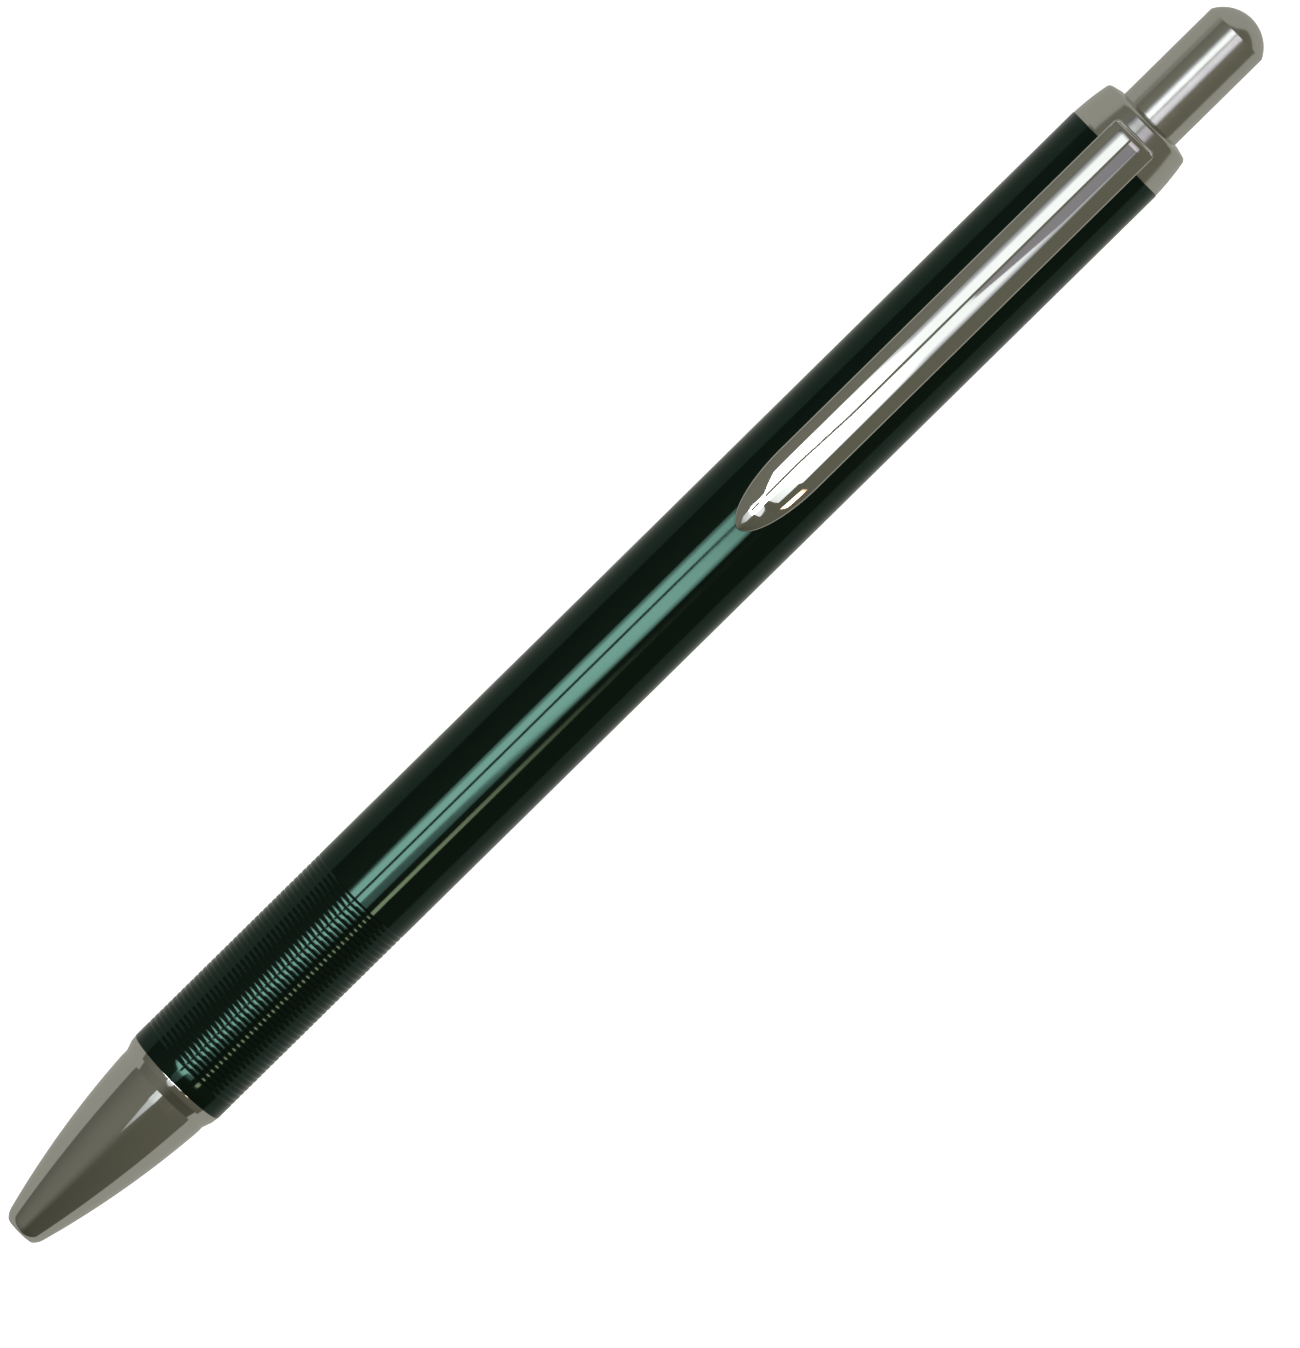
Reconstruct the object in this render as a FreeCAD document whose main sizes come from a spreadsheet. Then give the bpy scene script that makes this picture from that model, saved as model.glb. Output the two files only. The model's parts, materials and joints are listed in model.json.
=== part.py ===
"""Push-button pen with a grooved metal barrel: a parametric document of the pen, one object for each piece.

Every piece is drawn lying along +X from the nose face, with the pen's own axis on the X axis.
Its Placement then sets the pen down: mid-length over the origin, the lowest line of the barrel on the ground.
Positions along the pen are named for the feature they mark and are counted from the nose face.
All lengths are in millimetres and all angles in degrees.
"""
import FreeCAD, Part
import math
import os
import re

import Sketcher

SIZES = {
    # outside shape, nose to button
    "nose_length": 18.55,
    "barrel_length": 110.0,
    "ring_length": 4.1,
    "button_exposed": 11.88,
    "barrel_radius": 4.92,
    "nose_rim_radius": 1.42,
    "nose_corner": 1.6,
    "nose_corner_end": 0.8,
    "nose_corner_end_radius": 1.924,
    "ogive_radius": 83.1,
    "ogive_end": 16.45,
    "ogive_end_radius": 4.53,
    "collar_start": 17.1,
    "collar_end": 17.95,
    "collar_end_radius": 4.83,
    "nose_edge_radius": 4.9,
    "ring_front_radius": 4.88,
    "ring_rear_radius": 4.52,
    "ring_crown_radius": 22.0,
    "ring_corner": 0.5,
    "ring_corner_radius": 0.525,
    "ring_face_radius": 4.12,
    "ring_dish": 0.25,
    "button_radius": 3.0,
    "button_dome_radius": 3.38,
    # grip grooves
    "grip_start": 1.4,
    "groove_pitch": 0.511,
    "groove_count": 40,
    "groove_width": 0.22,
    "groove_depth": 0.06,
    # nose bores and thread
    "tip_bore": 1.34,
    "washer_seat": 7.15,
    "spring_chamber": 2.8,
    "plug_bore_start": 12.65,
    "plug_bore": 3.3,
    "refill_bore_start": 15.55,
    "refill_bore": 3.62,
    "spigot_end": 26.35,
    "spigot_radius": 4.17,
    "spigot_chamfer": 0.3,
    "thread_root_radius": 4.0,
    "thread_start": 20.55,
    "thread_pitch": 0.75,
    "thread_turns": 6,
    "seal_groove_radius": 3.95,
    "seal_groove_end": 19.65,
    "seal_section": 0.24,
    "seal_radius": 4.2,
    "seal_place": 19.05,
    # barrel bores
    "seal_bore": 4.46,
    "front_bore": 4.25,
    "front_bore_end": 27.35,
    "middle_bore": 3.75,
    "rear_bore_start": 104.85,
    "rear_bore": 4.1,
    # return spring
    "washer_thickness": 0.3,
    "washer_radius": 2.7,
    "washer_bore": 1.5,
    "spring_radius": 2.46,
    "spring_wire": 0.2,
    "spring_turns": 9,
    # refill, counted from its own tip
    "refill_offset": 1.55,
    "ball_radius": 0.35,
    "ball_seat": 0.38,
    "tip_face": 0.2,
    "tip_face_radius": 0.45,
    "cone_end": 3.1,
    "cone_radius": 1.24,
    "tube_start": 3.8,
    "tube_radius": 1.26,
    "tube_bore": 0.95,
    "ink_bore": 0.42,
    "socket_end": 6.5,
    "plug_start": 14.56,
    "plug_neck_radius": 1.9,
    "plug_shoulder": 17.13,
    "plug_shoulder_radius": 2.96,
    "plug_step": 18.42,
    "plug_step_radius": 3.12,
    "plug_flange": 20.01,
    "plug_flange_radius": 3.4,
    "case_start": 20.93,
    "case_radius": 3.48,
    "case_bore": 3.2,
    "case_edge": 0.1,
    "case_end": 104.6,
    "plug_spigot_end": 25.0,
    "feed_radius": 0.4,
    "feed_end": 30.0,
    "feed_gap": 0.1,
    "ink_clearance": 0.05,
    "ink_gap": 0.2,
    "ink_end": 99.0,
    "rear_plug_start": 100.5,
    "rear_flange_end": 105.4,
    "rear_flange_radius": 3.44,
    "refill_length": 109.9,
    "stub_radius": 2.49,
    "stub_chamfer": 0.3,
    "tip_spring_radius": 0.26,
    "tip_spring_wire": 0.07,
    "tip_spring_turns": 8,
    "tip_spring_length": 2.6,
    "tip_spring_gap": 0.02,
    # cam mechanism
    "stroke": 5.5,
    "latch_return": 1.0,
    "drum_radius": 3.0,
    "drum_length": 8.4,
    "drum_bore": 1.56,
    "drum_gap": 0.1,
    "stud_radius": 0.5,
    "stud_from_drum": 1.5,
    "track_radius": 0.57,
    "track_corner": 0.6,
    "housing_radius": 4.08,
    "housing_bore": 3.08,
    "housing_front_bore": 3.62,
    "housing_front_end": 107.55,
    "housing_counterbore": 3.45,
    "housing_counter_start": 119.25,
    "housing_end": 122.35,
    # button and its guide
    "spindle_radius": 1.5,
    "spindle_start": 112.35,
    "collar_radius": 2.7,
    "collar_length": 4.9,
    "flange_radius": 3.35,
    "flange_length": 1.4,
    "stem_radius": 2.15,
    "stem_end": 138.35,
    "cap_cavity_end": 141.35,
    "guide_radius": 3.6,
    "guide_bore": 3.06,
    "guide_end": 130.95,
    "ring_lip_bore": 3.14,
    # clip
    "clip_length": 46.42,
    "clip_width": 4.5,
    "clip_tip_length": 6.5,
    "clip_tip_flat": 0.25,
    "clip_tip_shoulder": 0.5,
    "clip_tip_half": 0.84,
    "clip_tip_round": 0.7,
    "clip_edge": 0.45,
    "clip_crown": 0.5,
    "clip_root_front": 128.65,
    "clip_gap": 0.1,
    "clip_root_height": 5.55,
    "clip_pad_height": 5.06,
    "clip_pad_place": 87.55,
    "clip_tip_lift": 0.15,
    "clip_overhang": 2.4,
    "clip_corner": 1.0,
    "clip_clearance": 0.03,
    "clip_bow": 4000.0,
    "clip_tip_curve": 11.0,
    "clip_tip_ogive": 11.7,
    "tab_width": 3.0,
    "tab_length": 1.2,
    "tab_depth": 4.2,
    "tab_start": 129.15,
    "tab_overlap": 0.07,
    # how far a cutting outline passes outside what it cuts
    "overcut": 0.01,
}

STUD_COUNT = 2
TRACK_STEPS = 6

doc = FreeCAD.newDocument("technical_pen")
sheet = doc.addObject("Spreadsheet::Sheet", "Sizes")
for row, (alias, value) in enumerate(SIZES.items(), start=1):
    sheet.set(f"A{row}", alias)
    sheet.set(f"B{row}", str(value))
    sheet.setAlias(f"B{row}", alias)
doc.recompute()

PEN_LENGTH = "nose_length + barrel_length + ring_length + button_exposed"
BARREL_END = "nose_length + barrel_length"
RING_END = "nose_length + barrel_length + ring_length"
DRUM_START = "refill_offset + refill_length + drum_gap"
COLLAR_START = f"{DRUM_START} + drum_length + drum_gap"
FLANGE_START = f"{COLLAR_START} + collar_length"
FLANGE_END = f"{FLANGE_START} + flange_length"
GUIDE_START = f"{FLANGE_END} + drum_gap"
CLIP_TOP = "clip_root_height + clip_edge + clip_crown"


def cells(words):
    """The same sum with each size's alias written as a reference to its cell."""
    return re.sub(r"[a-z_]+\b(?!\()", lambda word: f"Sizes.{word.group()}", str(words))


def number(words):
    """What a sum of sizes comes to now."""
    value = sheet.evalExpression(cells(words))
    return float(getattr(value, "Value", value))


def set_down(piece):
    """Place a piece, drawn on the X axis from the nose face, where it lies in the pen's frame."""
    piece.setExpression("Placement.Base.x", cells(f"-({PEN_LENGTH}) / 2"))
    piece.setExpression("Placement.Base.z", cells("barrel_radius"))


def new_body(name):
    body = doc.addObject("PartDesign::Body", name)
    body.Label = name
    set_down(body)
    return body


def origin_plane(body, role):
    return next(feature for feature in body.Origin.OriginFeatures if feature.Role == role)


def closed_sketch(body, name, corners, arcs=None, plane="XZ_Plane"):
    """A closed outline through corners, each a pair of sums of sizes.

    arcs gives, for the side that leaves corner i, a sum for its radius and the way it bulges:
    1 to the left of travel or -1 to the right.
    """
    arcs = arcs or {}
    sketch = body.newObject("Sketcher::SketchObject", name)
    sketch.AttachmentSupport = [(origin_plane(body, plane), "")]
    sketch.MapMode = "FlatFace"
    places = [FreeCAD.Vector(number(along), number(across), 0) for along, across in corners]
    count = len(places)
    for i, start in enumerate(places):
        end = places[(i + 1) % count]
        if i in arcs:
            radius, side = arcs[i]
            sketch.addGeometry(arc_between(start, end, number(radius), side), False)
        else:
            sketch.addGeometry(Part.LineSegment(start, end), False)
    # an arc's points 1 and 2 run anticlockwise, so a side that bulges left of travel starts at its point 2
    first = [2 if i in arcs and arcs[i][1] > 0 else 1 for i in range(count)]
    last = [3 - point for point in first]
    for i in range(count):
        following = (i + 1) % count
        sketch.addConstraint(Sketcher.Constraint("Coincident", i, last[i], following, first[following]))
    for i, (along, across) in enumerate(corners):
        bind(sketch, "DistanceX", i, first[i], places[i].x, along)
        bind(sketch, "DistanceY", i, first[i], places[i].y, across)
    for i, (radius, _) in arcs.items():
        constraint = sketch.addConstraint(Sketcher.Constraint("Radius", i, number(radius)))
        sketch.setExpression(f"Constraints[{constraint}]", cells(radius))
    return sketch


def bind(sketch, kind, line, point, value, words):
    constraint = sketch.addConstraint(Sketcher.Constraint(kind, -1, 1, line, point, value))
    sketch.setExpression(f"Constraints[{constraint}]", cells(words))


def arc_between(start, end, radius, side):
    """The short arc from start to end, bulging left of travel when side is 1 and right when it is -1."""
    chord = end - start
    half = chord.Length / 2
    left = FreeCAD.Vector(-chord.y, chord.x, 0).normalize()
    middle = (start + end) * 0.5
    bulge = radius - math.sqrt(radius * radius - half * half)
    return Part.Arc(start, middle + left * (bulge * side), end)


def lathe(name, corners, arcs=None):
    """A body turned about the pen's axis from an outline of (along, radius) corners."""
    body = new_body(name)
    sketch = closed_sketch(body, f"{name}_outline", corners, arcs)
    turned = body.newObject("PartDesign::Revolution", f"{name}_turned")
    turned.Profile = sketch
    turned.ReferenceAxis = (sketch, ["H_Axis"])
    turned.Angle = 360
    sketch.Visibility = False
    return body


def tube(start, end, outer, inner):
    """The outline of a plain tube."""
    return [(start, inner), (end, inner), (end, outer), (start, outer)]


def ring_grooves(body, name, start, pitch, width, depth, radius, count):
    """A row of V grooves round a turned body, cut as one groove and its linear pattern."""
    before = new_volume(body)
    sketch = closed_sketch(
        body,
        f"{name}_section",
        [
            (f"{start} - {width} / 2", f"{radius} + overcut"),
            (start, f"{radius} - {depth}"),
            (f"{start} + {width} / 2", f"{radius} + overcut"),
        ],
    )
    groove = body.newObject("PartDesign::Groove", name)
    groove.Profile = sketch
    groove.ReferenceAxis = (sketch, ["H_Axis"])
    groove.Angle = 360
    doc.recompute()
    row = body.newObject("PartDesign::LinearPattern", f"{name}_row")
    row.Originals = [groove]
    row.Direction = (sketch, ["H_Axis"])
    row.setExpression("Length", cells(f"{pitch} * ({count} - 1)"))
    row.setExpression("Occurrences", cells(count))
    body.Tip = row
    sketch.Visibility = False
    check_removed(body, before, name)


def new_volume(body):
    doc.recompute()
    return body.Shape.Volume


def check_removed(body, before, what):
    doc.recompute()
    if not body.Shape.Volume < before:
        raise RuntimeError(f"{what} removed nothing from {body.Label}")


# the barrel and what is fixed in it


def make_barrel():
    start = "nose_length"
    body = lathe(
        "barrel",
        [
            (start, "seal_bore"),
            ("seal_groove_end", "seal_bore"),
            ("seal_groove_end", "front_bore"),
            ("front_bore_end", "front_bore"),
            ("front_bore_end", "middle_bore"),
            ("rear_bore_start", "middle_bore"),
            ("rear_bore_start", "rear_bore"),
            (BARREL_END, "rear_bore"),
            (BARREL_END, "barrel_radius"),
            (start, "barrel_radius"),
        ],
    )
    ring_grooves(
        body,
        "grip_groove",
        f"{start} + grip_start + groove_pitch / 2",
        "groove_pitch",
        "groove_width",
        "groove_depth",
        "barrel_radius",
        "groove_count",
    )


def make_rear_ring():
    body = lathe(
        "rear_ring",
        [
            ("housing_end", "guide_radius"),
            ("guide_end", "guide_radius"),
            ("guide_end", "ring_lip_bore"),
            (RING_END, "ring_lip_bore"),
            (f"{RING_END} - ring_dish", "ring_face_radius"),
            (f"{RING_END} - ring_dish - ring_corner", "ring_rear_radius"),
            (BARREL_END, "ring_front_radius"),
            (BARREL_END, "rear_bore"),
            ("housing_end", "rear_bore"),
        ],
        {4: ("ring_corner_radius", -1), 5: ("ring_crown_radius", -1)},
    )
    before = new_volume(body)
    tab = closed_sketch(
        body,
        "clip_slot_outline",
        [
            ("tab_start", "-tab_width / 2"),
            ("tab_start + tab_length", "-tab_width / 2"),
            ("tab_start + tab_length", "tab_width / 2"),
            ("tab_start", "tab_width / 2"),
        ],
        plane="XY_Plane",
    )
    slot = body.newObject("PartDesign::Pocket", "clip_slot")
    slot.Profile = tab
    slot.Type = "Length"
    slot.setExpression("Length", cells("barrel_radius"))
    slot.Reversed = True
    tab.AttachmentOffset = FreeCAD.Placement(FreeCAD.Vector(0, 0, 1), FreeCAD.Rotation())
    tab.setExpression("AttachmentOffset.Base.z", cells("tab_depth"))
    check_removed(body, before, "clip_slot")


def make_button_guide():
    lathe("button_guide", tube(GUIDE_START, "guide_end", "guide_radius", "guide_bore"))


def make_cam_housing():
    body = lathe(
        "cam_housing",
        [
            ("rear_bore_start", "housing_front_bore"),
            ("housing_front_end", "housing_front_bore"),
            ("housing_front_end", "housing_bore"),
            ("housing_counter_start", "housing_bore"),
            ("housing_counter_start", "housing_counterbore"),
            ("housing_end", "housing_counterbore"),
            ("housing_end", "housing_radius"),
            ("rear_bore_start", "housing_radius"),
        ],
    )
    before = new_volume(body)
    hole = body.newObject("Sketcher::SketchObject", "stud_hole_circle")
    hole.AttachmentSupport = [(origin_plane(body, "XY_Plane"), "")]
    hole.MapMode = "FlatFace"
    hole.addGeometry(Part.Circle(FreeCAD.Vector(1, 0, 0), FreeCAD.Vector(0, 0, 1), 1.0), False)
    bind(hole, "DistanceX", 0, 3, 1.0, f"{DRUM_START} + stud_from_drum")
    hole.addConstraint(Sketcher.Constraint("PointOnObject", 0, 3, -1))
    radius = hole.addConstraint(Sketcher.Constraint("Radius", 0, 1.0))
    hole.setExpression(f"Constraints[{radius}]", cells("stud_radius"))
    pocket = body.newObject("PartDesign::Pocket", "stud_holes")
    pocket.Profile = hole
    pocket.Type = "ThroughAll"
    pocket.Midplane = True
    check_removed(body, before, "stud_holes")


def make_cam_guide_studs():
    """Two domed studs, pressed through the housing from opposite sides, that run in the drum's track."""
    studs = []
    for i in range(STUD_COUNT):
        shank = doc.addObject("Part::Cylinder", f"stud_shank_{i}")
        shank.setExpression("Radius", cells("stud_radius"))
        shank.setExpression("Height", cells("housing_radius - drum_radius"))
        dome = doc.addObject("Part::Sphere", f"stud_dome_{i}")
        dome.setExpression("Radius", cells("stud_radius"))
        for solid in (shank, dome):
            solid.setExpression("Placement.Base.z", cells("drum_radius"))
        stud = doc.addObject("Part::Fuse", f"stud_{i}")
        stud.Base = shank
        stud.Tool = dome
        stud.Placement.Rotation = FreeCAD.Rotation(FreeCAD.Vector(1, 0, 0), 360 * i / STUD_COUNT)
        stud.setExpression("Placement.Base.x", cells(f"{DRUM_START} + stud_from_drum"))
        studs.append(stud)
    pair = doc.addObject("Part::Compound", "cam_guide_studs")
    pair.Label = "cam_guide_studs"
    pair.Links = studs
    set_down(pair)


# the nose


def make_nose_cone():
    body = lathe(
        "nose_cone",
        [
            ("0", "tip_bore"),
            ("washer_seat", "tip_bore"),
            ("washer_seat", "spring_chamber"),
            ("plug_bore_start", "spring_chamber"),
            ("plug_bore_start", "plug_bore"),
            ("refill_bore_start", "plug_bore"),
            ("refill_bore_start", "refill_bore"),
            ("spigot_end", "refill_bore"),
            ("spigot_end", "thread_root_radius"),
            ("spigot_end - spigot_chamfer", "spigot_radius"),
            ("seal_groove_end", "spigot_radius"),
            ("seal_groove_end", "seal_groove_radius"),
            ("nose_length", "seal_groove_radius"),
            ("nose_length", "nose_edge_radius"),
            ("collar_end", "collar_end_radius"),
            ("collar_start", "ogive_end_radius"),
            ("ogive_end", "ogive_end_radius"),
            ("nose_corner_end", "nose_corner_end_radius"),
            ("0", "nose_rim_radius"),
        ],
        {16: ("ogive_radius", -1), 17: ("nose_corner", -1)},
    )
    ring_grooves(
        body,
        "nose_thread",
        "thread_start + thread_pitch / 2",
        "thread_pitch",
        "thread_pitch * 0.8",
        "(spigot_radius - thread_root_radius)",
        "spigot_radius",
        "thread_turns",
    )


def make_nose_seal_ring():
    ring = doc.addObject("Part::Torus", "nose_seal_ring")
    ring.Label = "nose_seal_ring"
    ring.setExpression("Radius1", cells("seal_radius"))
    ring.setExpression("Radius2", cells("seal_section"))
    ring.Placement.Rotation = FreeCAD.Rotation(FreeCAD.Vector(0, 1, 0), 90)
    ring.setExpression("Placement.Base.x", cells(f"seal_place - ({PEN_LENGTH}) / 2"))
    ring.setExpression("Placement.Base.z", cells("barrel_radius"))


def make_spring_seat_washer():
    end = "washer_seat + washer_thickness"
    lathe("spring_seat_washer", tube("washer_seat", end, "washer_radius", "washer_bore"))


def coil(name, start, end, radius, wire, turns):
    """A compression spring: a round wire swept along a helix about the pen's axis."""
    helix = doc.addObject("Part::Helix", f"{name}_line")
    helix.setExpression("Radius", cells(radius))
    helix.setExpression("Height", cells(f"({end}) - ({start}) - 2 * {wire}"))
    helix.setExpression("Pitch", cells(f"(({end}) - ({start}) - 2 * {wire}) / {turns}"))
    section = doc.addObject("Part::Circle", f"{name}_section")
    section.setExpression("Radius", cells(wire))
    section.setExpression("Placement.Base.x", cells(radius))
    section.Placement.Rotation = FreeCAD.Rotation(FreeCAD.Vector(1, 0, 0), 90)
    sweep = doc.addObject("Part::Sweep", name)
    sweep.Label = name
    sweep.Sections = [section]
    sweep.Spine = (helix, ["Edge1"])
    sweep.Solid = True
    sweep.Frenet = True
    sweep.Placement.Rotation = FreeCAD.Rotation(FreeCAD.Vector(0, 1, 0), 90)
    sweep.setExpression("Placement.Base.x", cells(f"{start} + {wire} - ({PEN_LENGTH}) / 2"))
    sweep.setExpression("Placement.Base.z", cells("barrel_radius"))


def make_return_spring():
    start = "washer_seat + washer_thickness"
    end = "refill_offset + plug_shoulder"
    coil("return_spring", start, end, "spring_radius", "spring_wire", "spring_turns")


# the refill, whose own stations are counted from its tip


def on_refill(corners):
    return [(f"refill_offset + {along}", radius) for along, radius in corners]


def make_writing_ball():
    ball = doc.addObject("Part::Sphere", "writing_ball")
    ball.Label = "writing_ball"
    ball.setExpression("Radius", cells("ball_radius"))
    ball.setExpression("Placement.Base.x", cells(f"refill_offset + ball_radius - ({PEN_LENGTH}) / 2"))
    ball.setExpression("Placement.Base.z", cells("barrel_radius"))


def make_tip_socket():
    lathe(
        "tip_socket",
        on_refill(
            [
                ("tip_face", "ball_seat"),
                ("2 * ball_radius + ball_seat", "ball_seat"),
                ("2 * ball_radius + ball_seat", "ink_bore"),
                ("socket_end", "ink_bore"),
                ("socket_end", "tube_bore"),
                ("tube_start", "tube_bore"),
                ("tube_start", "cone_radius"),
                ("cone_end", "cone_radius"),
                ("tip_face", "tip_face_radius"),
            ]
        ),
    )


def make_ball_spring():
    start = "refill_offset + 2 * ball_radius + tip_spring_gap"
    end = f"{start} + tip_spring_length"
    coil("ball_spring", start, end, "tip_spring_radius", "tip_spring_wire", "tip_spring_turns")


def make_tip_tube():
    lathe("tip_tube", on_refill(tube("tube_start", "plug_step", "tube_radius", "tube_bore")))


def make_front_plug():
    lathe(
        "refill_front_plug",
        on_refill(
            [
                ("plug_start", "tube_radius"),
                ("plug_step", "tube_radius"),
                ("plug_step", "tube_bore"),
                ("plug_spigot_end", "tube_bore"),
                ("plug_spigot_end", "case_bore"),
                ("case_start", "case_bore"),
                ("case_start", "plug_flange_radius"),
                ("plug_flange", "plug_flange_radius"),
                ("plug_flange", "plug_step_radius"),
                ("plug_step", "plug_step_radius"),
                ("plug_step", "plug_shoulder_radius"),
                ("plug_shoulder", "plug_shoulder_radius"),
                ("plug_shoulder", "plug_neck_radius"),
                ("plug_start", "plug_neck_radius"),
            ]
        ),
    )


def make_refill_case():
    lathe(
        "refill_case",
        on_refill(
            [
                ("case_start", "case_bore"),
                ("case_end", "case_bore"),
                ("case_end", "case_radius - case_edge"),
                ("case_end - case_edge", "case_radius"),
                ("case_start + case_edge", "case_radius"),
                ("case_start", "case_radius - case_edge"),
            ]
        ),
    )


def make_ink_feed():
    start = "refill_offset + socket_end + feed_gap"
    lathe("ink_feed", [(start, "0"), ("refill_offset + feed_end", "0"),
                       ("refill_offset + feed_end", "feed_radius"), (start, "feed_radius")])


def make_ink_reservoir():
    start = "plug_spigot_end + ink_gap"
    lathe(
        "ink_reservoir",
        on_refill(
            [
                (start, "feed_radius"),
                ("feed_end", "feed_radius"),
                ("feed_end", "0"),
                ("ink_end", "0"),
                ("ink_end", "case_bore - ink_clearance"),
                (start, "case_bore - ink_clearance"),
            ]
        ),
    )


def make_rear_plug():
    lathe(
        "refill_rear_plug",
        on_refill(
            [
                ("rear_plug_start", "0"),
                ("refill_length", "0"),
                ("refill_length", "stub_radius - stub_chamfer"),
                ("refill_length - stub_chamfer", "stub_radius"),
                ("rear_flange_end", "stub_radius"),
                ("rear_flange_end", "rear_flange_radius"),
                ("case_end", "rear_flange_radius"),
                ("case_end", "case_bore"),
                ("rear_plug_start", "case_bore"),
            ]
        ),
    )


# the cam and the button


def track_point(along, angle, radius):
    turn = math.radians(angle)
    return FreeCAD.Vector(along, -radius * math.sin(turn), radius * math.cos(turn))


def track_leg(start, end, radius, groove):
    """The solid swept by a ball that rolls round the drum from start to end, each (along, angle)."""
    shares = [i / TRACK_STEPS for i in range(TRACK_STEPS + 1)]
    stations = [
        (start[0] + (end[0] - start[0]) * share, start[1] + (end[1] - start[1]) * share)
        for share in shares
    ]
    line = Part.BSplineCurve()
    line.interpolate([track_point(along, angle, radius) for along, angle in stations])
    spine = Part.Wire([line.toShape()])
    tangent = line.tangent(line.FirstParameter)[0]
    section = Part.Wire([Part.makeCircle(groove, track_point(*start, radius), tangent)])
    return spine.makePipeShell([section], True, True)


def make_cam_drum():
    """The drum and its closed zigzag track: full stroke, back to latched, full stroke, and home."""
    start = number(DRUM_START)
    length = number("drum_length")
    radius = number("drum_radius")
    drum = Part.makeCylinder(radius, length, FreeCAD.Vector(start, 0, 0), FreeCAD.Vector(1, 0, 0))
    inner = number("drum_bore")
    bore = Part.makeCylinder(inner, length, FreeCAD.Vector(start, 0, 0), FreeCAD.Vector(1, 0, 0))
    drum = drum.cut(bore)
    home = start + number("stud_from_drum")
    pressed = home + number("stroke")
    latched = pressed - number("latch_return")
    zigzag = [home, pressed, latched, pressed]
    quarter = 360.0 / STUD_COUNT / len(zigzag)
    corners = [(along, quarter * i) for i, along in enumerate(zigzag * STUD_COUNT)]
    for i, corner in enumerate(corners):
        following = corners[(i + 1) % len(corners)]
        if i + 1 == len(corners):
            following = (following[0], 360.0)
        drum = drum.cut(track_leg(corner, following, radius, number("track_radius")))
        drum = drum.cut(Part.makeSphere(number("track_corner"), track_point(*corner, radius)))
    cam = doc.addObject("Part::Feature", "cam_drum")
    cam.Label = "cam_drum"
    cam.Shape = drum
    set_down(cam)


def make_button_stem():
    lathe(
        "button_stem",
        [
            ("spindle_start", "0"),
            ("stem_end", "0"),
            ("stem_end", "stem_radius"),
            (FLANGE_END, "stem_radius"),
            (FLANGE_END, "flange_radius"),
            (FLANGE_START, "flange_radius"),
            (FLANGE_START, "collar_radius"),
            (COLLAR_START, "collar_radius"),
            (COLLAR_START, "spindle_radius"),
            ("spindle_start", "spindle_radius"),
        ],
    )


def make_button_cap():
    rim = f"{PEN_LENGTH} - button_dome_radius + sqrt(button_dome_radius ^ 2 - button_radius ^ 2)"
    lathe(
        "button_cap",
        [
            (FLANGE_END, "stem_radius"),
            ("cap_cavity_end", "stem_radius"),
            ("cap_cavity_end", "0"),
            (PEN_LENGTH, "0"),
            (rim, "button_radius"),
            (FLANGE_END, "button_radius"),
        ],
        {3: ("button_dome_radius", -1)},
    )


# the clip


def make_clip_root():
    """The clip's fixed end, over the rear ring, with the tab that the ring's slot holds."""
    body = new_body("clip_root")
    rear = "clip_root_front - clip_gap + clip_overhang"
    half = "clip_width / 2"
    outline = closed_sketch(
        body,
        "root_outline",
        [
            ("clip_root_front", f"-{half}"),
            (f"{rear} - clip_corner", f"-{half}"),
            (rear, f"-{half} + clip_corner"),
            (rear, f"{half} - clip_corner"),
            (f"{rear} - clip_corner", half),
            ("clip_root_front", half),
        ],
        {1: ("clip_corner", -1), 3: ("clip_corner", -1)},
        plane="XY_Plane",
    )
    outline.setExpression("AttachmentOffset.Base.z", cells("barrel_radius + clip_clearance"))
    block = body.newObject("PartDesign::Pad", "root_block")
    block.Profile = outline
    block.setExpression("Length", cells(f"{CLIP_TOP} - barrel_radius - clip_clearance"))
    tab = closed_sketch(
        body,
        "tab_outline",
        [
            ("tab_start", "-tab_width / 2"),
            ("tab_start + tab_length", "-tab_width / 2"),
            ("tab_start + tab_length", "tab_width / 2"),
            ("tab_start", "tab_width / 2"),
        ],
        plane="XY_Plane",
    )
    tab.setExpression("AttachmentOffset.Base.z", cells("tab_depth"))
    foot = body.newObject("PartDesign::Pad", "root_tab")
    foot.Profile = tab
    foot.setExpression("Length", cells("barrel_radius + clip_clearance + tab_overlap - tab_depth"))
    doc.recompute()
    top = number(f"{CLIP_TOP} + barrel_radius")
    front = number(f"clip_root_front - ({PEN_LENGTH}) / 2")
    near = number("overcut")
    edges = [
        f"Edge{i}"
        for i, edge in enumerate(body.Shape.Edges, start=1)
        if all(abs(vertex.Z - top) < near for vertex in edge.Vertexes) and edge.BoundBox.XMax > front + near
    ]
    rounded = body.newObject("PartDesign::Fillet", "root_crown")
    rounded.Base = (foot, edges)
    rounded.setExpression("Radius", cells("clip_crown"))


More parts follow.
